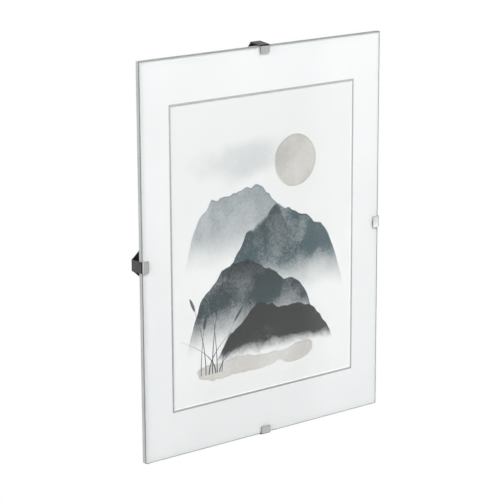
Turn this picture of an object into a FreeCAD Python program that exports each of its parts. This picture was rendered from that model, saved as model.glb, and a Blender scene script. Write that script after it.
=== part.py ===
import FreeCAD, Part
import math
import os
import Sketcher

# A glass clip frame for one 30 x 40 cm picture. A stack of four flat sheets (glass,
# passe-partout, print, greyboard back) is held by four identical bent steel clips, one
# at the middle of each side. Each clip hooks over the front of the glass, wraps round
# the edge, and presses two teeth into slots in the greyboard from behind. The broad
# plate of each clip stands off the board, carries a keyhole for a nail, and lies on
# the wall.
#
# The frame of the whole object: +X to the right, +Y to the wall, +Z up, seen from the
# front, with the origin at its centre. Depth is counted from the front face of the glass
# towards the wall. On a clip, reach is counted outward from the edge of the glass.

doc = FreeCAD.newDocument("clip_frame")

# ---------------------------------------------------------------- driving dimensions (mm)

DIMENSIONS = [
    ("paneWidth", 300, "glass, side to side"),
    ("paneHeight", 400, "glass, bottom to top"),
    ("glassThickness", 2, "float glass"),
    ("glassCorner", 1, "radius of the ground corners of the glass"),
    ("glassArris", 0.4, "bevel ground along the edges of the glass"),
    ("matThickness", 0.8, "passe-partout card"),
    ("matInset", 0.2, "card cut smaller than the glass, each side"),
    ("windowWidth", 228, "front opening of the window in the card"),
    ("windowHeight", 305, "front opening of the window in the card"),
    ("printThickness", 0.2, "printed sheet"),
    ("printInset", 1, "print smaller than the glass, each side"),
    ("backThickness", 3, "greyboard back"),
    ("backInset", 0.3, "greyboard cut smaller than the glass, each side"),
    ("clipSteel", 0.8, "sheet thickness of a clip"),
    ("clipWidth", 11.5, "width of lip and strap"),
    ("bendRadius", 0.7, "inside radius of each bend"),
    ("lipReach", 7.2, "how far the lip covers the glass"),
    ("lipCorner", 1, "rounded corners of the lip"),
    ("lipGap", 0.15, "lip in front of the glass"),
    ("edgeGap", 0.3, "strap beside the edge of the glass, at the front"),
    ("strapLean", 1.6, "how much further out the strap is at its back end"),
    ("standOff", 9.2, "space for the nail between board and plate"),
    ("plateWidth", 32, "broad part of the plate"),
    ("flareRun", 11.6, "length over which the plate widens"),
    ("plateCorner", 3, "rounded shoulder of the plate"),
    ("legInset", 22, "rim side of the legs, in from the edge of the glass"),
    ("legSpread", 12, "clear width between the two legs"),
    ("legNotch", 3, "how far the space between the legs goes into the plate"),
    ("notchCorner", 1.5, "rounded corners of that notch"),
    ("shoulderGap", 0.1, "legs stand off the board by this much"),
    ("toothDepth", 2, "how far a tooth goes into the board"),
    ("toothWidth", 4, "tooth at its root"),
    ("toothTip", 2, "tooth at its tip"),
    ("slotEndGap", 0.5, "slot longer than the tooth, each end"),
    ("slotInnerGap", 0.4, "slot beside the tooth, away from the rim"),
    ("slotOuterGap", 1.1, "slot beside the tooth, rim side, so that the tooth can tip out"),
    ("holeRadius", 3, "keyhole, round part that passes the head of the nail"),
    ("holeInset", 13, "keyhole centre, in from the edge of the glass"),
    ("slotRadius", 1.6, "keyhole, narrow part for the shank of the nail"),
    ("slotRise", 5.5, "keyhole, from the round centre to the end of the narrow part"),
]

sizes = doc.addObject("Spreadsheet::Sheet", "Sizes")
for row, (alias, value, note) in enumerate(DIMENSIONS, start=1):
    sizes.set("A%d" % row, alias)
    sizes.set("B%d" % row, str(value))
    sizes.set("C%d" % row, note)
    sizes.setAlias("B%d" % row, alias)
doc.recompute()

# ---------------------------------------------------------------- places worked out from them

matFront = "Sizes.glassThickness"
printFront = "(%s + Sizes.matThickness)" % matFront
backFront = "(%s + Sizes.printThickness)" % printFront
backRear = "(%s + Sizes.backThickness)" % backFront
plateFront = "(%s + Sizes.standOff)" % backRear
plateRear = "(%s + Sizes.clipSteel)" % plateFront
lipFront = "(Sizes.lipGap + Sizes.clipSteel)"

# the whole frame reaches from the front of the lips to the back of the plates
originDepth = "((%s - %s) / 2)" % (plateRear, lipFront)

# the leaning strap: sideways per depth, and its thickness measured square to the edge
strapSlope = "(Sizes.strapLean / (%s + Sizes.lipGap))" % plateFront
strapSkew = "(Sizes.clipSteel * sqrt(1 + %s ^ 2))" % strapSlope
strapBack = "(Sizes.edgeGap + Sizes.strapLean)"

toothEnd = "(%s - Sizes.toothDepth)" % backRear
shoulder = "(%s + Sizes.shoulderGap)" % backRear
toothMiddle = "((Sizes.legSpread + Sizes.plateWidth) / 4)"

SPARE = 5.0  # how far the cutting outlines run past the metal
CLOSE = 1e-4  # two places nearer than this are the same
LEAST_CUT = 1e-3  # a cut that removes less volume has missed the solid


def number(expression):
    """The present value of an expression on the sheet."""
    return float(sizes.evalExpression(str(expression)))


# ---------------------------------------------------------------- modelling helpers

def new_body(label):
    body = doc.addObject("PartDesign::Body", label)
    body.Label = label
    return body


def origin_plane(body, role):
    return next(item for item in body.Origin.OriginFeatures if item.Role == role)


def new_sketch(body, name, role, offset=None):
    """An empty sketch on an origin plane of its body, moved along the plane's normal."""
    sketch = body.newObject("Sketcher::SketchObject", name)
    sketch.AttachmentSupport = [(origin_plane(body, role), "")]
    sketch.MapMode = "FlatFace"
    if offset is not None:
        sketch.setExpression("AttachmentOffset.Base.z", str(offset))
    return sketch


def place(sketch, geometry, point, across, up):
    """Fixes one point of a sketch by two distances from the sketch's origin."""
    for kind, expression in (("DistanceX", across), ("DistanceY", up)):
        index = sketch.addConstraint(
            Sketcher.Constraint(kind, -1, 1, geometry, point, number(expression)))
        sketch.setExpression("Constraints[%d]" % index, str(expression))


def add_polygon(sketch, corners):
    """A closed outline of straight lines through corners given as expressions."""
    points = [FreeCAD.Vector(number(across), number(up), 0) for across, up in corners]
    first = sketch.GeometryCount
    count = len(points)
    for i in range(count):
        sketch.addGeometry(Part.LineSegment(points[i], points[(i + 1) % count]), False)
    for i in range(count):
        sketch.addConstraint(
            Sketcher.Constraint("Coincident", first + i, 2, first + (i + 1) % count, 1))
        place(sketch, first + i, 1, corners[i][0], corners[i][1])


def add_rectangle(sketch, left, right, low, high):
    add_polygon(sketch, [(left, low), (right, low), (right, high), (left, high)])


def add_centred_rectangle(sketch, width, height):
    add_rectangle(sketch, "-(%s) / 2" % width, "(%s) / 2" % width,
                  "-(%s) / 2" % height, "(%s) / 2" % height)


def set_radius(sketch, geometry, expression):
    index = sketch.addConstraint(
        Sketcher.Constraint("Radius", geometry, number(expression)))
    sketch.setExpression("Constraints[%d]" % index, expression)


def edges_where(feature, test):
    """Names of the feature's edges that pass a test on their two end points."""
    names = []
    for i, edge in enumerate(feature.Shape.Edges, start=1):
        ends = [vertex.Point for vertex in edge.Vertexes]
        if len(ends) == 2 and test(ends[0], ends[1]):
            names.append("Edge%d" % i)
    if not names:
        raise RuntimeError("no edge found on " + feature.Label)
    return names


def same(a, b):
    return abs(a - b) < CLOSE


def dress(body, kind, name, base, edges, size, expression):
    """A fillet or chamfer on edges of the last feature."""
    feature = body.newObject("PartDesign::" + kind, name)
    feature.Base = (base, edges)
    feature.setExpression(size, expression)
    doc.recompute()
    return feature


def pad(body, name, sketch, length, both_ways=False, reverse=False):
    feature = body.newObject("PartDesign::Pad", name)
    feature.Profile = sketch
    feature.setExpression("Length", length)
    feature.SideType = "Symmetric" if both_ways else "One side"
    feature.Reversed = reverse
    doc.recompute()
    return feature


def pocket(body, name, sketch, length=None, both_ways=False, reverse=False):
    """Cuts through everything, or as deep as length says, and must remove something."""
    before = body.Shape.Volume
    feature = body.newObject("PartDesign::Pocket", name)
    feature.Profile = sketch
    feature.Type = "ThroughAll" if length is None else "Length"
    if length is not None:
        feature.setExpression("Length", length)
    feature.SideType = "Symmetric" if both_ways else "One side"
    feature.Reversed = reverse
    doc.recompute()
    if body.Shape.Volume > before - LEAST_CUT:
        raise RuntimeError(name + " removed nothing from " + body.Label)
    return feature


def mirror(body, name, feature, role):
    before = body.Shape.Volume
    copy = body.newObject("PartDesign::Mirrored", name)
    copy.Originals = [feature]
    copy.MirrorPlane = (origin_plane(body, role), [""])
    body.Tip = copy
    doc.recompute()
    if body.Shape.Volume > before - LEAST_CUT:
        raise RuntimeError(name + " removed nothing from " + body.Label)
    return copy


def seat_sheet(body, front):
    """Puts a sheet's front face at its depth behind the front of the glass."""
    body.setExpression("Placement.Base.y", "%s - %s" % (front, originDepth))


# ---------------------------------------------------------------- the four flat sheets

def sheet(label, width, height, thickness, front):
    """A rectangular sheet, its front face on its own XZ plane, its thickness to the back."""
    body = new_body(label)
    outline = new_sketch(body, label + "_outline", "XZ_Plane")
    add_centred_rectangle(outline, width, height)
    doc.recompute()
    blank = pad(body, label + "_blank", outline, thickness, reverse=True)
    seat_sheet(body, front)
    return body, blank


def glass_pane():
    body, blank = sheet("glass_pane", "Sizes.paneWidth", "Sizes.paneHeight",
                        "Sizes.glassThickness", "0")
    corners = edges_where(blank, lambda a, b: same(a.x, b.x) and same(a.z, b.z))
    rounded = dress(body, "Fillet", "glass_corners", blank, corners,
                    "Radius", "Sizes.glassCorner")
    rims = edges_where(rounded, lambda a, b: same(a.y, b.y))
    dress(body, "Chamfer", "glass_arris", rounded, rims, "Size", "Sizes.glassArris")
    return body


def mat_board():
    """Passe-partout card. Its window is cut at 45 degrees, widest at the front."""
    body, blank = sheet("mat_board", "Sizes.paneWidth - 2 * Sizes.matInset",
                        "Sizes.paneHeight - 2 * Sizes.matInset",
                        "Sizes.matThickness", matFront)
    loops = []
    for name, depth, shrink in (("front", "0", "0"),
                                ("back", "-Sizes.matThickness", "2 * Sizes.matThickness")):
        loop = new_sketch(body, "window_" + name, "XZ_Plane", offset=depth)
        add_centred_rectangle(loop, "Sizes.windowWidth - " + shrink,
                              "Sizes.windowHeight - " + shrink)
        loops.append(loop)
    doc.recompute()
    window = body.newObject("PartDesign::SubtractiveLoft", "window")
    window.Profile = loops[0]
    window.Sections = loops[1:]
    window.Ruled = True
    doc.recompute()
    if body.Shape.Volume > blank.Shape.Volume - LEAST_CUT:
        raise RuntimeError("the window isn't cut")
    return body


def art_print():
    body, blank = sheet("art_print", "Sizes.paneWidth - 2 * Sizes.printInset",
                        "Sizes.paneHeight - 2 * Sizes.printInset",
                        "Sizes.printThickness", printFront)
    return body


def backing_board():
    """Greyboard with two slots for the teeth of each clip, cut right through."""
    body, blank = sheet("backing_board", "Sizes.paneWidth - 2 * Sizes.backInset",
                        "Sizes.paneHeight - 2 * Sizes.backInset",
                        "Sizes.backThickness", backFront)
    near = "(Sizes.legInset - Sizes.slotOuterGap)"
    far = "(Sizes.legInset + Sizes.clipSteel + Sizes.slotInnerGap)"
    half = "(Sizes.toothWidth / 2 + Sizes.slotEndGap)"

    for side, plane in (("top", "XY_Plane"), ("right", "YZ_Plane")):
        slots = new_sketch(body, side + "_slots", "XZ_Plane")
        for sign in ("", "-"):
            middle = sign + toothMiddle
            along = ("%s - %s" % (middle, half), "%s + %s" % (middle, half))
            if side == "top":
                add_rectangle(slots, along[0], along[1],
                              "Sizes.paneHeight / 2 - " + far,
                              "Sizes.paneHeight / 2 - " + near)
            else:
                add_rectangle(slots, "Sizes.paneWidth / 2 - " + far,
                              "Sizes.paneWidth / 2 - " + near, along[0], along[1])
        doc.recompute()
        cut = pocket(body, side + "_slot_cut", slots, both_ways=True)
        mirror(body, side + "_slot_cut_opposite", cut, plane)
    return body


# ---------------------------------------------------------------- the clip

def clip_bends(depth_reach):
    """Turns (depth, reach) corners into a test for the bend edges that run along them."""
    wanted = [(number(depth), number(reach)) for depth, reach in depth_reach]

    def test(a, b):
        on_line = same(a.y, b.y) and same(a.z, b.z) and not same(a.x, b.x)
        return on_line and any(same(a.y, y) and same(a.z, z) for y, z in wanted)
    return test


def clip(label, turn, half_span):
    """One spring clip of bent sheet steel.

    Its own X runs along the edge of the glass, its own Y is depth and its own Z is reach.
    """
    body = new_body(label)

    # the bent strip, seen from its side: lip, strap, plate and leg
    inside = [("-Sizes.lipGap", "Sizes.edgeGap"),
              (plateFront, strapBack),
              (plateFront, "-Sizes.legInset")]
    outside = [("-" + lipFront,
                "Sizes.edgeGap - %s * Sizes.clipSteel + %s" % (strapSlope, strapSkew)),
               (plateRear,
                "%s + %s * Sizes.clipSteel + %s" % (strapBack, strapSlope, strapSkew)),
               (plateRear, "-Sizes.legInset - Sizes.clipSteel")]
    side_view = new_sketch(body, label + "_side_view", "YZ_Plane")
    add_polygon(side_view,
                [("-Sizes.lipGap", "-Sizes.lipReach")] + inside
                + [(toothEnd, "-Sizes.legInset"),
                   (toothEnd, "-Sizes.legInset - Sizes.clipSteel")]
                + outside[::-1] + [("-" + lipFront, "-Sizes.lipReach")])
    doc.recompute()
    strip = pad(body, label + "_strip", side_view, "Sizes.plateWidth", both_ways=True)
    inner = dress(body, "Fillet", label + "_inner_bends", strip,
                  edges_where(strip, clip_bends(inside)), "Radius", "Sizes.bendRadius")
    dress(body, "Fillet", label + "_outer_bends", inner,
          edges_where(inner, clip_bends(outside)),
          "Radius", "Sizes.bendRadius + Sizes.clipSteel")

    # lip and strap trimmed to their width, up to the last bend
    beyond = "(Sizes.plateWidth / 2 + %g)" % SPARE
    top = "%s + %g" % (strapBack, SPARE)
    strap_sides = new_sketch(body, label + "_strap_sides", "XZ_Plane",
                             offset="%s + %g" % (lipFront, SPARE))
    for sign in ("", "-"):
        add_rectangle(strap_sides, sign + "Sizes.clipWidth / 2", sign + beyond,
                      "-Sizes.lipReach - %g / 2" % SPARE, top)
    doc.recompute()
    pocket(body, label + "_strap_trim", strap_sides,
           length="%s - Sizes.bendRadius / 2 + %s + %g" % (plateFront, lipFront, SPARE))

    # the plate widens from the strap's width
    flare_top = "(%s - Sizes.bendRadius)" % strapBack
    plate_sides = new_sketch(body, label + "_plate_sides", "XZ_Plane")
    for sign in ("", "-"):
        add_polygon(plate_sides,
                    [(sign + "Sizes.clipWidth / 2", flare_top),
                     (sign + "Sizes.plateWidth / 2", flare_top + " - Sizes.flareRun"),
                     (sign + beyond, flare_top + " - Sizes.flareRun"),
                     (sign + beyond, top),
                     (sign + "Sizes.clipWidth / 2", top)])
    doc.recompute()
    pocket(body, label + "_plate_trim", plate_sides, both_ways=True)

    # the space between the legs
    notch_top = "(-Sizes.legInset + Sizes.legNotch)"
    notch = new_sketch(body, label + "_notch", "XZ_Plane")
    add_rectangle(notch, "-Sizes.legSpread / 2", "Sizes.legSpread / 2",
                  "-Sizes.legInset - %g" % SPARE, notch_top)
    doc.recompute()
    pocket(body, label + "_notch_cut", notch, both_ways=True)

    # each leg ends in shoulders and one tapered tooth
    teeth = new_sketch(body, label + "_teeth", "XY_Plane",
                       offset="-Sizes.legInset + Sizes.legNotch / 2")
    past_tip = "%s - %g" % (toothEnd, SPARE)
    for sign in ("", "-"):
        for flank, limit in (("-", "Sizes.legSpread / 2 - Sizes.legNotch"),
                             ("+", beyond)):
            root = "%s(%s %s Sizes.toothWidth / 2)" % (sign, toothMiddle, flank)
            tip = "%s(%s %s Sizes.toothTip / 2)" % (sign, toothMiddle, flank)
            edge = "%s(%s)" % (sign, limit)
            add_polygon(teeth, [(edge, shoulder), (root, shoulder), (tip, toothEnd),
                                (tip, past_tip), (edge, past_tip)])
    doc.recompute()
    pocket(body, label + "_teeth_cut", teeth)

    # keyhole for the nail, its narrow part towards the rim
    off_plate = "-%s + Sizes.standOff / 2" % plateFront
    normal = FreeCAD.Vector(0, 0, 1)
    hole = new_sketch(body, label + "_hole", "XZ_Plane", offset=off_plate)
    hole.addGeometry(Part.Circle(FreeCAD.Vector(0, -number("Sizes.holeInset"), 0),
                                 normal, number("Sizes.holeRadius")), False)
    place(hole, 0, 3, "0", "-Sizes.holeInset")
    set_radius(hole, 0, "Sizes.holeRadius")
    doc.recompute()
    pocket(body, label + "_hole_cut", hole)

    groove = new_sketch(body, label + "_groove", "XZ_Plane", offset=off_plate)
    groove_low, groove_high = "-Sizes.holeInset", "-Sizes.holeInset + Sizes.slotRise"
    radius = number("Sizes.slotRadius")
    low, high = number(groove_low), number(groove_high)
    for height, start in ((high, 0), (low, math.pi)):
        circle = Part.Circle(FreeCAD.Vector(0, height, 0), normal, radius)
        groove.addGeometry(Part.ArcOfCircle(circle, start, start + math.pi), False)
    groove.addGeometry(Part.LineSegment(FreeCAD.Vector(-radius, high, 0),
                                        FreeCAD.Vector(-radius, low, 0)), False)
    groove.addGeometry(Part.LineSegment(FreeCAD.Vector(radius, low, 0),
                                        FreeCAD.Vector(radius, high, 0)), False)
    for one, one_end, other, other_end in ((0, 2, 2, 1), (2, 2, 1, 1), (1, 2, 3, 1), (3, 2, 0, 1)):
        groove.addConstraint(Sketcher.Constraint("Tangent", one, one_end, other, other_end))
    place(groove, 0, 3, "0", groove_high)
    place(groove, 1, 3, "0", groove_low)
    set_radius(groove, 0, "Sizes.slotRadius")
    doc.recompute()
    last = pocket(body, label + "_groove_cut", groove)

    # rounded corners, all on edges that run along the depth
    def corner(reach, half_width):
        z, x = number(reach), number(half_width)

        def test(a, b):
            along = same(a.x, b.x) and same(a.z, b.z) and not same(a.y, b.y)
            return along and same(a.z, z) and same(abs(a.x), x)
        return test

    for name, reach, half_width, size in (
            ("lip", "-Sizes.lipReach", "Sizes.clipWidth / 2", "Sizes.lipCorner"),
            ("plate", flare_top + " - Sizes.flareRun", "Sizes.plateWidth / 2",
             "Sizes.plateCorner"),
            ("notch", notch_top, "Sizes.legSpread / 2", "Sizes.notchCorner")):
        last = dress(body, "Fillet", "%s_%s_corners" % (label, name), last,
                     edges_where(last, corner(reach, half_width)), "Radius", size)

    # the clip sits at the middle of its side, turned about the depth axis
    body.Placement.Rotation = FreeCAD.Rotation(FreeCAD.Vector(0, 1, 0), turn)
    outward = body.Placement.Rotation.multVec(FreeCAD.Vector(0, 0, 1))
    body.setExpression("Placement.Base.x", "%d * %s / 2" % (round(outward.x), half_span))
    body.setExpression("Placement.Base.z", "%d * %s / 2" % (round(outward.z), half_span))
    seat_sheet(body, "0")
    return body


# ---------------------------------------------------------------- build, check, write

parts = [glass_pane(), mat_board(), art_print(), backing_board()]
for side, turn, span in (("top", 0, "Sizes.paneHeight"), ("right", 90, "Sizes.paneWidth"),
                         ("bottom", 180, "Sizes.paneHeight"), ("left", 270, "Sizes.paneWidth")):
    parts.append(clip("clip_" + side, turn, span))
doc.recompute()

for item in doc.Objects:
    if "Invalid" in item.State or "Error" in item.State:
        raise RuntimeError("%s: %s" % (item.Label, item.State))
for body in parts:
    if body.Shape.isNull() or not body.Shape.isValid() or len(body.Shape.Solids) != 1:
        raise RuntimeError(body.Label + " is not one valid solid")

os.makedirs("parts", exist_ok=True)
for body in parts:
    body.Shape.exportStep("parts/%s.step" % body.Label)
    box = body.Shape.BoundBox
    print("%-14s volume %10.1f mm3   X %8.2f %8.2f   Y %7.2f %7.2f   Z %8.2f %8.2f" % (
        body.Label, body.Shape.Volume, box.XMin, box.XMax, box.YMin, box.YMax,
        box.ZMin, box.ZMax))
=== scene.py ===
import math

import bmesh
import bpy
from mathutils import Matrix, Vector
from mathutils.bvhtree import BVHTree


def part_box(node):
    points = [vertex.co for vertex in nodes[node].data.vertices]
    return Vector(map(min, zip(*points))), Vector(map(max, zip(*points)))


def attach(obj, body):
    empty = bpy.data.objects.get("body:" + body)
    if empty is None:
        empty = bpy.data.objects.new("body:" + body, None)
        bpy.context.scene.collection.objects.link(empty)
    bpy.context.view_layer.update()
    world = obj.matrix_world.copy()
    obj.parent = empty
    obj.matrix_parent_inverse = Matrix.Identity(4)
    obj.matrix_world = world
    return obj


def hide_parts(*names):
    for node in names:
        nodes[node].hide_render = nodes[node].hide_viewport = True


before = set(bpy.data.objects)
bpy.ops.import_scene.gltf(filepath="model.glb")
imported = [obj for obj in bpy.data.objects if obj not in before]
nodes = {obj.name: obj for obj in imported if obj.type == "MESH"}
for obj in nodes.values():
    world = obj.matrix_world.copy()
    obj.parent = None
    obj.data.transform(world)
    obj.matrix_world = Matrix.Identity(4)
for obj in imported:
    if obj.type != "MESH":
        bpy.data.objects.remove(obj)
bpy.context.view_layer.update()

# A frameless clip frame, seen from its left front and a little from above.
# Everything is in metres and in the object's own frame: +X right, +Y to the wall, +Z up.
# The scale of a noise pattern is its count per metre.

mm = 0.001
scene = bpy.context.scene
print("loaded", sorted(nodes))


# node trees, written as sums and products

class Wire:
    # one output socket; arithmetic on it adds Math nodes to its tree
    def __init__(self, graph, socket):
        self.graph, self.socket = graph, socket

    def out(self, key):
        # another output of the same node
        return Wire(self.graph, self.socket.node.outputs[key])

    def maths(self, operation, *others):
        return self.graph.node("ShaderNodeMath", {"operation": operation},
                               dict(enumerate((self, *others))))

    def __add__(self, other):
        return self.maths("ADD", other)

    __radd__ = __add__

    def __sub__(self, other):
        return self.maths("SUBTRACT", other)

    def __rsub__(self, other):
        return (self * -1) + other

    def __mul__(self, other):
        return self.maths("MULTIPLY", other)

    __rmul__ = __mul__

    def __truediv__(self, other):
        return self.maths("DIVIDE", other)

    def __pow__(self, other):
        return self.maths("POWER", other)

    def __abs__(self):
        return self.maths("ABSOLUTE")

    def least(self, other):
        return self.maths("MINIMUM", other)

    def most(self, other):
        return self.maths("MAXIMUM", other)

    def step(self, low, high, start=0.0, end=1.0):
        # goes smoothly from start to end while the value goes from low to high
        return self.graph.node("ShaderNodeMapRange", {"interpolation_type": "SMOOTHSTEP"},
                               {"Value": self, "From Min": low, "From Max": high,
                                "To Min": start, "To Max": end})


class Graph:
    # a node tree and the one method that adds its nodes
    def __init__(self, tree):
        self.tree = tree
        tree.nodes.clear()

    def node(self, kind, settings=None, sockets=None):
        made = self.tree.nodes.new(kind)
        for key, value in (settings or {}).items():
            setattr(made, key, value)
        for key, value in (sockets or {}).items():
            if isinstance(value, Wire):
                self.tree.links.new(value.socket, made.inputs[key])
            else:
                made.inputs[key].default_value = value
        return Wire(self, made.outputs[0]) if made.outputs else None

    def blend(self, share, first, second, how="MIX"):
        return self.node("ShaderNodeMix", {"data_type": "RGBA", "blend_type": how},
                         {0: share, 6: first, 7: second}).out(2)

    def noise(self, scale, detail=3.0, roughness=0.5, vector=None, seed=None):
        # in space, in space with a seed, or along one line where there is only a seed
        sockets = {"Scale": scale, "Detail": detail, "Roughness": roughness}
        if vector is not None:
            sockets["Vector"] = vector
        if seed is not None:
            sockets["W"] = seed
        size = "3D" if seed is None else "4D" if vector is not None else "1D"
        return self.node("ShaderNodeTexNoise", {"noise_dimensions": size}, sockets)

    def split(self, vector):
        x = self.node("ShaderNodeSeparateXYZ", None, {0: vector})
        return x, x.out(1), x.out(2)

    def stretched(self, vector, scale):
        return self.node("ShaderNodeMapping", None, {"Vector": vector, "Scale": scale})

    def bump(self, height, distance, strength):
        return self.node("ShaderNodeBump", None,
                         {"Height": height, "Distance": distance, "Strength": strength})

    def facingWall(self):
        # how squarely a face points to the wall; negative towards the viewer
        return self.split(self.node("ShaderNodeNewGeometry").out("True Normal"))[1]

    def rays(self, *kinds):
        # 1 for rays of any of these kinds
        path = self.node("ShaderNodeLightPath")
        found = path.out(kinds[0])
        for kind in kinds[1:]:
            found = found.most(path.out(kind))
        return found

    def seenRays(self):
        # what shows: straight, in a mirror or through the glass
        return self.rays("Is Camera Ray", "Is Glossy Ray", "Is Transmission Ray")


def colour(red, green, blue):
    return (red, green, blue, 1.0)


def grey(level):
    return colour(level, level, level)


def newMaterial(name):
    # a bare material, its graph and the point in the object's own frame
    material = bpy.data.materials.new(name)
    material.use_nodes = True
    graph = Graph(material.node_tree)
    return material, graph, graph.node("ShaderNodeTexCoord").out("Object")


def finishMaterial(graph, shader):
    graph.node("ShaderNodeOutputMaterial", None, {"Surface": shader})


def paint(piece, *materials):
    # fills the slots in turn and leaves each face its slot
    slots = piece.data.materials
    for i, material in enumerate(materials):
        if i < len(slots):
            slots[i] = material
        else:
            slots.append(material)


def addObject(name, data):
    made = bpy.data.objects.new(name, data)
    scene.collection.objects.link(made)
    return made


def addShape(name, shape):
    # the finished bmesh as a piece of its own
    mesh = bpy.data.meshes.new(name)
    shape.to_mesh(mesh)
    shape.free()
    return addObject(name, mesh)


# camera

camera = {
    "azimuth": -37.91, "elevation": 14.63, "roll": -0.25,
    "focalPixels": 2075, "framePixels": 500, "sensorMillimetres": 36,
    "place": (-1.249, -1.5865, 0.519), "near": 0.05, "far": 50,
}


def makeCamera():
    azimuth, elevation, roll = (math.radians(camera[key])
                                for key in ("azimuth", "elevation", "roll"))
    back = Vector((math.sin(azimuth) * math.cos(elevation),
                   -math.cos(azimuth) * math.cos(elevation), math.sin(elevation)))
    level = Vector((math.cos(azimuth), math.sin(azimuth), 0))
    upright = back.cross(level)
    right = level * math.cos(roll) + upright * math.sin(roll)
    up = upright * math.cos(roll) - level * math.sin(roll)
    data = bpy.data.cameras.new("camera")
    data.sensor_width = camera["sensorMillimetres"]
    data.lens = camera["focalPixels"] / camera["framePixels"] * data.sensor_width
    data.clip_start, data.clip_end = camera["near"], camera["far"]
    turn = Matrix((right, up, back)).transposed().to_4x4()
    scene.camera = addObject("camera", data)
    scene.camera.matrix_world = Matrix.Translation(camera["place"]) @ turn


makeCamera()
print("camera set")


# studio: white surroundings, soft lamps, a pale floor far below, and cards that only
# gloss can see, for the steel to mirror

studio = {
    "ambient": 0.5, "ambientColour": colour(0.955, 1.0, 1.02),
    "floorHeight": -1.9, "floorHalf": 6.0, "floorGrey": 0.8,
    "lamps": {
        # place, size, power
        "keyLamp": ((0.1, -1.5, 1.3), 1.1, 23),
        "leftLamp": ((-1.9, -0.5, 0.5), 1.2, 17),
        "backLamp": ((0.7, 1.7, 1.1), 1.2, 9),
    },
    "cards": {
        # centre, half across, half up, levels at the start and end of the middle step
        "frontCard": ((0.95, -1.2, -0.42), (0.62, 0, 0), (0, 0, 0.75), (0.55, 1.28)),
        "frontFlag": ((0.9, -1.25, 1.05), (1.0, 0, 0), (0, 0, 1.1), (0.01, 0.01)),
        "leftCard": ((-1.1, 1.55, -0.3), (0, 0.85, 0), (0, 0, 0.8), (0.155, 0.155)),
        "leftFlag": ((-1.3, -0.35, -0.3), (0, 2.05, 0), (0, 0, 1.0), (0.01, 0.01)),
        "topCard": ((1.1, 1.3, 0.7), (1.0, 0, 0), (0, 0, 0.6), (0.17, 0.17)),
        "topFlag": ((0.95, 0.1, 1.35), (0.95, 0, 0), (0, 1.35, 0), (0.02, 0.02)),
        "rightFlag": ((1.6, -0.2, -0.3), (0, 1.25, 0), (0, 0, 1.0), (0.02, 0.02)),
        "lowFlag": ((0.95, 0.2, -1.5), (1.0, 0, 0), (0, 1.5, 0), (0.05, 0.05)),
    },
    "cardStep": (0.1, 0.26), "cardFade": 0.75,  # shares of the way from centre to border
}


def makeWorld():
    world = bpy.data.worlds.new("studio")
    world.use_nodes = True
    graph = Graph(world.node_tree)
    soft = graph.node("ShaderNodeBackground", None,
                      {"Color": studio["ambientColour"], "Strength": studio["ambient"]})
    white = graph.node("ShaderNodeBackground", None, {"Color": grey(1), "Strength": 1.0})
    both = graph.node("ShaderNodeMixShader", None, {0: graph.seenRays(), 1: soft, 2: white})
    graph.node("ShaderNodeOutputWorld", None, {"Surface": both})
    scene.world = world


def makePanel(name, centre, across, up, material):
    middle, right, top = Vector(centre), Vector(across), Vector(up)
    mesh = bpy.data.meshes.new(name)
    mesh.from_pydata([middle - right - top, middle + right - top,
                      middle + right + top, middle - right + top], [], [(0, 1, 2, 3)])
    piece = addObject(name, mesh)
    paint(piece, material)
    return piece


def makeFloor():
    material, graph, _ = newMaterial("paleFloor")
    matt = graph.node("ShaderNodeBsdfPrincipled", None,
                      {"Base Color": grey(studio["floorGrey"]), "Roughness": 0.9})
    white = graph.node("ShaderNodeEmission", None, {"Color": grey(1), "Strength": 1.0})
    finishMaterial(graph, graph.node("ShaderNodeMixShader", None,
                                     {0: graph.seenRays(), 1: matt, 2: white}))
    half = studio["floorHalf"]
    makePanel("floor", (0, 0, studio["floorHeight"]), (half, 0, 0), (0, half, 0), material)


def makeCard(name, centre, across, up, levels):
    material, graph, point = newMaterial(name)
    offset = graph.node("ShaderNodeVectorMath", {"operation": "SUBTRACT"}, {0: point, 1: centre})

    def share(half):
        # from -1 at one border to 1 at the other
        return graph.node("ShaderNodeVectorMath", {"operation": "DOT_PRODUCT"},
                          {0: offset, 1: half / half.length_squared}).out("Value")

    sideways, upwards = share(Vector(across)), share(Vector(up))
    glow = graph.node("ShaderNodeEmission", None,
                      {"Color": sideways.step(*studio["cardStep"], *levels), "Strength": 1.0})
    # its borders fade, so that no hard edge shows in the glass
    finishMaterial(graph, graph.node("ShaderNodeMixShader", None, {
        0: abs(sideways).most(abs(upwards)).step(studio["cardFade"], 1), 1: glow,
        2: graph.node("ShaderNodeBsdfTransparent")}))
    panel = makePanel(name, centre, across, up, material)
    panel.visible_camera = panel.visible_diffuse = False
    panel.visible_transmission = panel.visible_shadow = False


def makeLamp(name, place, size, power):
    data = bpy.data.lights.new(name, "AREA")
    data.shape, data.size, data.energy = "SQUARE", size, power
    lamp = addObject(name, data)
    lamp.location = place
    lamp.rotation_euler = Vector(place).to_track_quat("Z", "Y").to_euler()
    lamp.visible_glossy = lamp.visible_transmission = False


makeWorld()
makeFloor()
for name, values in studio["cards"].items():
    makeCard(name, *values)
for name, values in studio["lamps"].items():
    makeLamp(name, *values)
scene.view_settings.view_transform = "Standard"
print("studio set")


# the glass: a slab with ground edges, a hair's breadth off the card

glass = {
    "backGap": 0.02 * mm, "corner": 1.0 * mm, "cornerSteps": 6, "arris": 0.4 * mm,
    "ior": 1.52, "wipeScale": 14, "wipeMarks": 0.03,
    # the edge's grey is partly painted shade: darker than a ground edge's own tone, for the dark
    # the pane's edge shows
    "edge": colour(0.29, 0.31, 0.305), "grainScale": 2600,
    "edgeChips": colour(0.44, 0.46, 0.455), "chipScale": 420,
}


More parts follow.
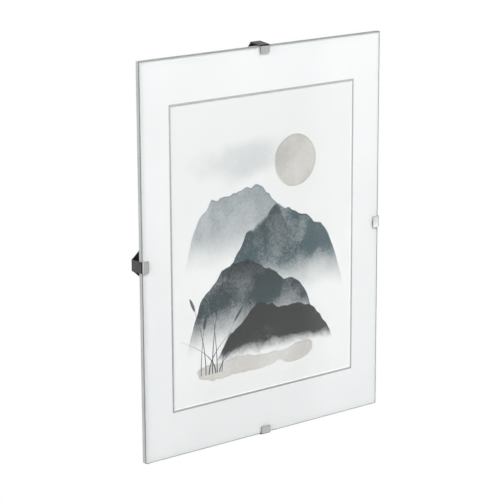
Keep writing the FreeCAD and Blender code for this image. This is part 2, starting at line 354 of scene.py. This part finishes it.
def clearGlass():
    material, graph, point = newMaterial("clearGlass")
    wiped = graph.noise(glass["wipeScale"], detail=4,
                        vector=graph.stretched(point, (1, 1, 0.35)))
    clear = graph.node("ShaderNodeBsdfPrincipled", None, {
        "Base Color": grey(1), "Roughness": wiped.step(0.5, 0.75, 0, glass["wipeMarks"]),
        "IOR": glass["ior"], "Transmission Weight": 1.0})
    # the lamps light the card straight through it
    finishMaterial(graph, graph.node("ShaderNodeMixShader", None, {
        0: graph.rays("Is Shadow Ray", "Is Diffuse Ray"), 1: clear,
        2: graph.node("ShaderNodeBsdfTransparent")}))
    return material


def groundEdgeAndShade():
    material, graph, point = newMaterial("groundEdgeAndShade")
    grain = graph.noise(glass["grainScale"], vector=point)
    chips = graph.noise(glass["chipScale"], vector=point).step(0.62, 0.7)
    # partly painted shade: the ground edge is painted darker than its own grey
    shade = graph.blend(chips * 0.6, glass["edge"], glass["edgeChips"])
    finishMaterial(graph, graph.node("ShaderNodeBsdfPrincipled", None, {
        "Base Color": shade, "Roughness": grain.step(0.2, 0.8, 0.3, 0.5), "IOR": glass["ior"],
        "Normal": graph.bump(grain, 0.02 * mm, 0.6)}))
    return material


def roundedOutline(width, height, radius, steps):
    # corner points of a rounded rectangle round the origin, one quarter turn after another
    points = []
    for quarter, (sideX, sideZ) in enumerate(((1, -1), (1, 1), (-1, 1), (-1, -1))):
        for i in range(steps + 1):
            turn = math.pi / 2 * (quarter - 1 + i / steps)
            points.append((sideX * (width / 2 - radius) + radius * math.cos(turn),
                           sideZ * (height / 2 - radius) + radius * math.sin(turn)))
    return points


def glassSlab(low, high):
    # four rings round the pane, from its front face to its back, with an arris at each end
    arris, back = glass["arris"], high.y - glass["backGap"]
    slab = bmesh.new()
    rings = []
    for depth, inset in ((low.y, arris), (low.y + arris, 0), (back - arris, 0), (back, arris)):
        outline = roundedOutline(high.x - low.x - 2 * inset, high.z - low.z - 2 * inset,
                                 glass["corner"] - inset, glass["cornerSteps"])
        rings.append([slab.verts.new((x, depth, z)) for x, z in outline])
    count = len(rings[0])
    for first, second in zip(rings, rings[1:]):
        for i in range(count):
            j = (i + 1) % count
            side = slab.faces.new((first[j], first[i], second[i], second[j]))
            side.material_index, side.smooth = 1, True
    slab.faces.new(rings[0])
    slab.faces.new(rings[-1][::-1])
    for ring in rings:
        for i in range(count):
            slab.edges.get((ring[i], ring[(i + 1) % count])).smooth = False
    bmesh.ops.recalc_face_normals(slab, faces=slab.faces)
    return slab


def makeGlass():
    piece = addShape("glassPane", glassSlab(*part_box("glass_pane")))
    paint(piece, clearGlass(), groundEdgeAndShade())
    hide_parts("glass_pane")
    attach(piece, "sheet_pack")


makeGlass()
print("glass made")


# the card with its window

card = {
    "face": colour(0.91, 0.91, 0.905), "faceCloud": colour(0.885, 0.885, 0.88), "cloudScale": 9,
    "core": colour(0.86, 0.86, 0.85), "fibre": colour(0.80, 0.80, 0.79), "fibreScale": 700,
    "edge": colour(0.60, 0.60, 0.59), "edgeLayers": colour(0.70, 0.70, 0.69),
    "layerScale": 5200, "rim": 0.3 * mm, "tooth": 0.35 * mm, "toothDepth": 0.015 * mm,
}


def paperCard():
    material, graph, point = newMaterial("paperCard")
    x, y, z = graph.split(point)
    _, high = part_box("mat_board")
    cloud = graph.noise(card["cloudScale"], detail=2, vector=point)
    tooth = graph.noise(1 / card["tooth"], detail=4, vector=point)
    fibres = graph.noise(card["fibreScale"], detail=2, vector=point).step(0.60, 0.74)
    face = graph.blend(cloud.step(0.3, 0.7), card["face"], card["faceCloud"])
    face = graph.blend(fibres * 0.1, face, card["fibre"])
    # the window's cut shows the core
    flat = abs(graph.facingWall()).step(0.8, 0.95)
    shade = graph.blend(flat, card["core"], face)
    # the outer edges, where the pressed layers of the card show
    rim = card["rim"]
    outside = abs(x).step(high.x - rim, high.x).most(abs(z).step(high.z - rim, high.z))
    layers = graph.noise(card["layerScale"], detail=2, seed=y)
    shade = graph.blend(outside * (1 - flat), shade,
                        graph.blend(layers, card["edge"], card["edgeLayers"]))
    finishMaterial(graph, graph.node("ShaderNodeBsdfPrincipled", None, {
        "Base Color": shade, "Roughness": tooth.step(0.3, 0.7, 0.72, 0.86),
        "Normal": graph.bump(tooth, card["toothDepth"], 0.5), "Specular IOR Level": 0.35}))
    return material


paint(nodes["mat_board"], paperCard())


# the grey line printed round the window: a flat section swept along a rectangle

keyline = {
    "width": 2.0 * mm, "thickness": 0.012 * mm,
    "ink": colour(0.40, 0.405, 0.41), "thinInk": colour(0.46, 0.465, 0.47), "inkScale": 420,
    "frontWithin": 0.01 * mm, "windowWithin": 0.9,  # share of the card's half width
}


def keylineInk():
    material, graph, point = newMaterial("keylineInk")
    uneven = graph.noise(keyline["inkScale"], vector=point)
    finishMaterial(graph, graph.node("ShaderNodeBsdfPrincipled", None, {
        "Base Color": graph.blend(uneven.step(0.35, 0.7), keyline["ink"], keyline["thinInk"]),
        "Roughness": uneven.step(0.3, 0.7, 0.6, 0.74), "Specular IOR Level": 0.3,
        "Normal": graph.bump(uneven, 0.006 * mm, 0.4)}))
    return material


def keylineTree():
    tree = bpy.data.node_groups.new("keylineNodes", "GeometryNodeTree")
    graph = Graph(tree)
    tree.interface.new_socket("Geometry", in_out="OUTPUT", socket_type="NodeSocketGeometry")
    for label in ("Window Width", "Window Height", "Line Width", "Thickness", "Depth"):
        tree.interface.new_socket(label, in_out="INPUT", socket_type="NodeSocketFloat")
    tree.interface.new_socket("Material", in_out="INPUT", socket_type="NodeSocketMaterial")
    given = graph.node("NodeGroupInput")
    width = given.out("Line Width")
    path = graph.node("GeometryNodeCurvePrimitiveQuadrilateral", None, {
        "Width": given.out("Window Width") + width, "Height": given.out("Window Height") + width})
    # the sweep turns its section by 45 degrees at each corner, so it has to be wider there
    section = graph.node("GeometryNodeCurvePrimitiveQuadrilateral", None,
                         {"Width": width * 2 ** 0.5, "Height": given.out("Thickness")})
    line = graph.node("GeometryNodeCurveToMesh", None,
                      {"Curve": path, "Profile Curve": section, "Fill Caps": True})
    place = graph.node("ShaderNodeCombineXYZ", None, {"Y": given.out("Depth")})
    upright = graph.node("GeometryNodeTransform", None, {
        "Geometry": line, "Rotation": (math.pi / 2, 0, 0), "Translation": place})
    real = graph.node("GeometryNodeRealizeInstances", None, {0: upright})
    inked = graph.node("GeometryNodeSetMaterial", None,
                       {"Geometry": real, "Material": given.out("Material")})
    graph.node("NodeGroupOutput", None, {0: inked})
    return tree


def grown(name, tree, values):
    # runs a geometry tree with these inputs on an empty mesh and keeps the plain result
    carrier = addObject("carrier", bpy.data.meshes.new("carrier"))
    modifier = carrier.modifiers.new("nodes", "NODES")
    modifier.node_group = tree
    for item in tree.interface.items_tree:
        if item.in_out == "INPUT":
            modifier[item.identifier] = values[item.name]
    shown = carrier.evaluated_get(bpy.context.evaluated_depsgraph_get())
    mesh = bpy.data.meshes.new_from_object(shown)
    bpy.data.objects.remove(carrier)
    return addObject(name, mesh)


def makeKeyline():
    low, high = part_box("mat_board")
    # the window's front opening, from the card's own front corners
    inner = [vertex.co for vertex in nodes["mat_board"].data.vertices
             if vertex.co.y < low.y + keyline["frontWithin"]
             and abs(vertex.co.x) < high.x * keyline["windowWithin"]]
    line = grown("keyline", keylineTree(), {
        "Window Width": 2 * max(corner.x for corner in inner),
        "Window Height": 2 * max(corner.z for corner in inner),
        "Line Width": keyline["width"], "Thickness": keyline["thickness"],
        "Depth": low.y - keyline["thickness"] / 2, "Material": keylineInk()})
    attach(line, "sheet_pack")


makeKeyline()
print("card and line made")


# the print: hills in mist under a pale sun, in washes of slate and warm grey, with reeds.
# Its own measures are in millimetres, across and up from the middle of the sheet.

picture = {
    "paper": colour(0.945, 0.945, 0.93), "paperCloud": colour(0.925, 0.925, 0.905),
    # the darker tone at the top is painted light, evening out the lamps' light down the sheet
    "cloudScale": 20, "paperTopPaintedShade": colour(0.86, 0.86, 0.845),
    "toothScale": 1300, "grainScale": 520, "waterScale": 26, "softScale": 15,
    # how an outline wanders: count per metre and reach in millimetres
    "shake": (190, 3.4), "waver": (34, 7), "sway": (22, 30),
    "sky": {"middle": (-24, 88), "half": (76, 26), "ink": colour(0.56, 0.59, 0.605),
            "strength": 0.5, "seed": 6.3, "soft": 20},
    "sun": {"middle": (40, 80), "radius": 27, "ink": colour(0.56, 0.52, 0.47),
            "strength": 0.8, "seed": 2.7},
    "hills": [
        # ridge and base are heights; wave is per millimetre
        {"ridge": 62, "swing": 34, "wave": 0.018, "middle": -26, "half": 74, "base": -22,
         "mist": 54, "seed": 3.1, "ink": colour(0.25, 0.30, 0.325), "strength": 0.86},
        {"ridge": 30, "swing": 38, "wave": 0.016, "middle": 24, "half": 82, "base": -64,
         "mist": 54, "seed": 9.4, "ink": colour(0.03, 0.08, 0.1), "strength": 1.08},
        {"ridge": -18, "swing": 32, "wave": 0.017, "middle": -16, "half": 88, "base": -104,
         "mist": 50, "seed": 5.2, "ink": colour(0.012, 0.04, 0.052), "strength": 1.15},
        {"ridge": -66, "swing": 24, "wave": 0.021, "middle": 18, "half": 78, "base": -116,
         "mist": 20, "seed": 1.7, "ink": colour(0.006, 0.007, 0.008), "strength": 1.4},
    ],
    "shore": {"middle": (-8, -121), "half": (88, 11), "ink": colour(0.60, 0.56, 0.505),
              "strength": 0.75, "seed": 8.8, "soft": 2},
    "reedInk": colour(0.02, 0.022, 0.028), "reedFoot": -124,
    # foot, lean, height, width at the foot; a head where the last is true
    "reeds": [(-66, 14, 92, 1.3, True), (-60, -8, 74, 1.2, True), (-74, -18, 80, 1.2, True),
              (-54, 24, 60, 1.1, True), (-80, 6, 58, 1.1, True), (-70, 38, 46, 1.6, False),
              (-62, -42, 40, 1.6, False), (-57, 50, 34, 1.5, False)],
}


class Brush:
    # the sheet's paper and water, shared by every wash that goes on it
    def __init__(self, graph, point):
        self.graph, self.point = graph, point
        x, _, z = graph.split(point)
        self.x, self.z = x / mm, z / mm
        self.tooth = graph.noise(picture["toothScale"], detail=3, vector=point)
        self.grain = graph.noise(picture["grainScale"], detail=4, roughness=0.65, vector=point)
        self.shake = (self.wander("shake", detail=4, roughness=0.6)
                      + self.wander("waver", detail=2, roughness=0.5))
        self.sway = self.wander("sway", detail=3, roughness=0.5)
        clouds = graph.noise(picture["cloudScale"], vector=point)
        paper = graph.blend(clouds.step(0.35, 0.7), picture["paper"], picture["paperCloud"])
        # painted light: the sheet is painted a little darker towards its top, so that it looks
        # even under lamps that light its top more
        self.shade = graph.blend((self.z + clouds * 60).step(-80, 150), paper, picture["paperTopPaintedShade"])

    def wander(self, name, detail, roughness):
        scale, reach = picture[name]
        return (self.graph.noise(scale, detail, roughness, self.point) - 0.5) * reach

    def wash(self, inside, ink, strength, seed, thin=1.0):
        # inside is how far a point lies within the outline; thin lets the wash run out
        water = self.graph.noise(picture["waterScale"], detail=3, roughness=0.55,
                                 vector=self.point, seed=seed)
        softness = self.graph.noise(picture["softScale"], detail=1, vector=self.point,
                                    seed=seed + 40)
        edge = inside + self.shake
        cover = edge.step(0, softness.step(0.52, 0.72, 0.6, 7))
        # a darker rim and fringe, where the water dried
        rim = edge.step(0.3, 2.6, 1, 0) * softness.step(0.5, 0.6, 1, 0)
        fringe = abs(water - 0.53).step(0, 0.014, 1, 0)
        depth = (water.step(0.25, 0.75, 0.68, 1.1) * self.grain.step(0.25, 0.75, 0.86, 1.08)
                 + rim * 0.3 + fringe * 0.07)
        amount = (cover * depth * strength * thin).least(1)
        self.shade = self.graph.blend(amount, self.shade, ink, "MULTIPLY")

    def patch(self, middle, half, ink, strength, seed, soft):
        # a long loose oval that runs out towards its border
        across, up = (self.x - middle[0]) / half[0], (self.z - middle[1]) / half[1]
        inside = (1 - (across ** 2 + up ** 2) ** 0.5) * half[1] + self.sway
        self.wash(inside, ink, strength, seed, inside.step(0, soft))

    def disc(self, middle, radius, ink, strength, seed):
        # its outline hardly shakes
        across, up = self.x - middle[0], self.z - middle[1]
        inside = radius - (across * across + up * up) ** 0.5 - self.shake * 0.8
        self.wash(inside, ink, strength, seed)

    def hill(self, ridge, swing, wave, middle, half, base, mist, ink, strength, seed):
        crest = self.graph.noise(1.0, detail=3, roughness=0.42, seed=self.x * wave + seed)
        droop = (abs(self.x - middle) / half) ** 3 * (ridge - base)
        height = (crest - 0.5) * 2 * swing + ridge - droop
        rising = (self.z - base + self.shake * 2) / mist
        thin = (rising.step(0, 1) + (self.tooth - 0.5) * 0.25).most(0)
        self.wash(height - self.z, ink, strength, seed, thin)

    def reed(self, foot, lean, tall, wide, headed):
        along = (self.z - picture["reedFoot"]) / tall
        aside = self.x - foot - along * along * lean
        body = along.least(1).step(0, 1, wide / 2, wide / 8)
        line = (body - abs(aside)).step(-0.15, 0.15)
        ink = line * along.step(-0.01, 0.01) * along.step(0.99, 1.01, 1, 0)
        if headed:
            head = (aside / 1.8) ** 2 + ((along - 0.94) * tall / 7) ** 2
            ink = ink.most(head.step(0.8, 1.15, 1, 0))
        ink = ink * self.tooth.step(0.25, 0.5, 0.7, 0.95)
        self.shade = self.graph.blend(ink, self.shade, picture["reedInk"])


def artPaper():
    material, graph, point = newMaterial("artPaper")
    brush = Brush(graph, point)
    brush.patch(**picture["sky"])
    brush.disc(**picture["sun"])
    for hill in picture["hills"]:
        brush.hill(**hill)
    brush.patch(**picture["shore"])
    for reed in picture["reeds"]:
        brush.reed(*reed)
    finishMaterial(graph, graph.node("ShaderNodeBsdfPrincipled", None, {
        "Base Color": brush.shade, "Roughness": brush.grain.step(0.3, 0.7, 0.78, 0.9),
        "Normal": graph.bump(brush.tooth + brush.grain, 0.02 * mm, 0.5),
        "Specular IOR Level": 0.3}))
    return material


paint(nodes["art_print"], artPaper())
print("print made")


# the back: solid grey board, its rear faced with dark paper, whose near-black is also painted
# shade for the clips' wings to mirror

board = {
    "core": colour(0.62, 0.62, 0.61), "coreCloud": colour(0.55, 0.55, 0.54), "cloudScale": 26,
    "fibre": colour(0.74, 0.74, 0.72), "fibreScale": 520, "hairScale": 900,
    "fleck": colour(0.20, 0.20, 0.21), "fleckScale": 620,
    # the rear's near-black is partly painted shade, which the clips' wings mirror as the dark gap
    # behind them
    "facingAndShade": colour(0.035, 0.036, 0.038), "facingAndShadeCloud": colour(0.055, 0.056, 0.058),
    "rub": colour(0.17, 0.17, 0.17), "scuffScale": 210, "rimWear": 0.8 * mm,
}


def greyBoard():
    material, graph, point = newMaterial("greyBoard")
    x, _, z = graph.split(point)
    _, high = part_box("backing_board")
    cloud = graph.noise(board["cloudScale"], detail=4, vector=point)
    fibre = graph.noise(board["fibreScale"], detail=5, roughness=0.7, vector=point)
    hairs = graph.noise(board["hairScale"], detail=2,
                        vector=graph.stretched(point, (0.18, 1, 1)))
    flecks = graph.noise(board["fleckScale"], detail=1, vector=point).step(0.68, 0.74)
    core = graph.blend(cloud.step(0.3, 0.7), board["core"], board["coreCloud"])
    core = graph.blend(hairs.step(0.58, 0.72) * 0.5, core, board["fibre"])
    core = graph.blend(flecks * 0.5, core, board["fleck"])

    # partly painted shade: the rear is painted near-black, so the clips' wings mirror it dark
    facingAndShade = graph.blend(cloud.step(0.3, 0.75), board["facingAndShade"], board["facingAndShadeCloud"])
    facingAndShade = graph.blend(hairs.step(0.6, 0.75) * 0.15, facingAndShade, board["rub"])
    scuffs = graph.noise(board["scuffScale"], detail=5, roughness=0.7,
                         vector=graph.stretched(point, (0.5, 1, 0.22)))
    facingAndShade = graph.blend(scuffs.step(0.64, 0.74) * cloud.step(0.45, 0.65) * 0.5,
                         facingAndShade, board["rub"])
    # rubbed through along the outer rim
    toRim = (high.x - abs(x)).least(high.z - abs(z)) / board["rimWear"]
    worn = (fibre.step(0.35, 0.65) - toRim).step(0, 0.3)
    facingAndShade = graph.blend(worn * 0.8, facingAndShade, board["core"])

    rear = graph.facingWall().step(0.5, 0.9)
    finishMaterial(graph, graph.node("ShaderNodeBsdfPrincipled", None, {
        "Base Color": graph.blend(rear, core, facingAndShade),
        "Roughness": fibre.step(0.3, 0.7, 0.8, 0.92) - rear * 0.2,
        "Normal": graph.bump(fibre + hairs, 0.05 * mm, 0.6), "Specular IOR Level": 0.3}))
    return material


paint(nodes["backing_board"], greyBoard())
print("back made")


# the clips: the CAD strips with their sharp edges eased

clips = {
    "sides": {"clip_top": "top_clip", "clip_right": "right_clip",
              "clip_bottom": "bottom_clip", "clip_left": "left_clip"},
    "levelBodies": ("left_clip", "right_clip"),
    "thickness": 0.8 * mm, "ease": 0.09 * mm, "easeSteps": 2, "sharp": math.radians(35),
    "mergeWithin": 0.001 * mm, "flatWithin": math.radians(0.5),
    "probe": 0.01 * mm, "shearedFrom": 1.3,  # times the thickness
    "steel": colour(0.75, 0.755, 0.755), "dull": colour(0.69, 0.695, 0.695),
    "roughness": (0.14, 0.24), "patchScale": 130, "rollScale": 5200, "scratchScale": 1300,
    # the punched edges' greys are partly painted shade, for the dark outline round the clips'
    # ends
    "sheared": colour(0.30, 0.30, 0.295), "shearMarksAndShade": colour(0.16, 0.155, 0.15),
    "markScale": 3000,
}


def springSteel(name, along):
    # bright plated strip; its rolling marks run along the axis whose scale is small
    material, graph, point = newMaterial(name)
    patch = graph.noise(clips["patchScale"], detail=3, vector=point)
    drawn = graph.stretched(point, along)
    rolled = graph.noise(clips["rollScale"], detail=3, vector=drawn)
    scratch = graph.noise(clips["scratchScale"], detail=2, vector=drawn).step(0.69, 0.75)
    shade = graph.blend(patch.step(0.35, 0.75), clips["steel"], clips["dull"])
    rough = patch.step(0.3, 0.7, *clips["roughness"]) + scratch * 0.15
    finishMaterial(graph, graph.node("ShaderNodeBsdfPrincipled", None, {
        "Base Color": graph.blend(scratch * 0.4, shade, clips["dull"]), "Metallic": 1.0,
        "Roughness": rough, "Normal": graph.bump(rolled + scratch, 0.003 * mm, 0.35)}))
    return material


def shearedEdgeAndShade():
    # where the strip was punched out: duller, with fine marks across its thickness; its dark grey
    # is partly painted shade, darkening the clips' ends and outlines
    material, graph, point = newMaterial("shearedEdgeAndShade")
    marks = graph.noise(clips["markScale"], detail=3, vector=point)
    shade = graph.blend(marks.step(0.4, 0.7), clips["sheared"], clips["shearMarksAndShade"])
    finishMaterial(graph, graph.node("ShaderNodeBsdfPrincipled", None, {
        "Base Color": shade, "Metallic": 1.0, "Roughness": marks.step(0.3, 0.7, 0.4, 0.6),
        "Normal": graph.bump(marks, 0.01 * mm, 0.5)}))
    return material


def clipStrip(node):
    # the clip's own mesh, merged, with its flat faces whole
    strip = bmesh.new()
    strip.from_mesh(nodes[node].data)
    bmesh.ops.remove_doubles(strip, verts=strip.verts, dist=clips["mergeWithin"])
    bmesh.ops.dissolve_limit(strip, angle_limit=clips["flatWithin"],
                             verts=strip.verts, edges=strip.edges)
    bmesh.ops.recalc_face_normals(strip, faces=strip.faces)
    for face in strip.faces:
        face.smooth = True
    return strip


def markSheared(strip):
    # a sheared face has no other side close behind it
    solid = BVHTree.FromBMesh(strip)
    for corners in strip.calc_loop_triangles():
        face = corners[0].face
        centre = sum((corner.vert.co for corner in corners), Vector()) / 3
        depth = solid.ray_cast(centre - face.normal * clips["probe"], -face.normal)[3] or 0
        if depth > clips["shearedFrom"] * clips["thickness"]:
            face.material_index = 1


def makeClip(node, body, steel, sheared):
    strip = clipStrip(node)
    markSheared(strip)
    piece = addShape(node + "_strip", strip)
    ease = piece.modifiers.new("ease", "BEVEL")
    ease.width, ease.segments = clips["ease"], clips["easeSteps"]
    ease.limit_method, ease.angle_limit = "ANGLE", clips["sharp"]
    piece.modifiers.new("flats", "WEIGHTED_NORMAL")
    paint(piece, steel, sheared)
    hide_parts(node)
    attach(piece, body)


uprightSteel = springSteel("uprightSteel", (1, 1, 0.04))
levelSteel = springSteel("levelSteel", (0.04, 1, 1))
edgeSteelAndShade = shearedEdgeAndShade()
for node, body in clips["sides"].items():
    steel = levelSteel if body in clips["levelBodies"] else uprightSteel
    makeClip(node, body, steel, edgeSteelAndShade)
print("clips made")
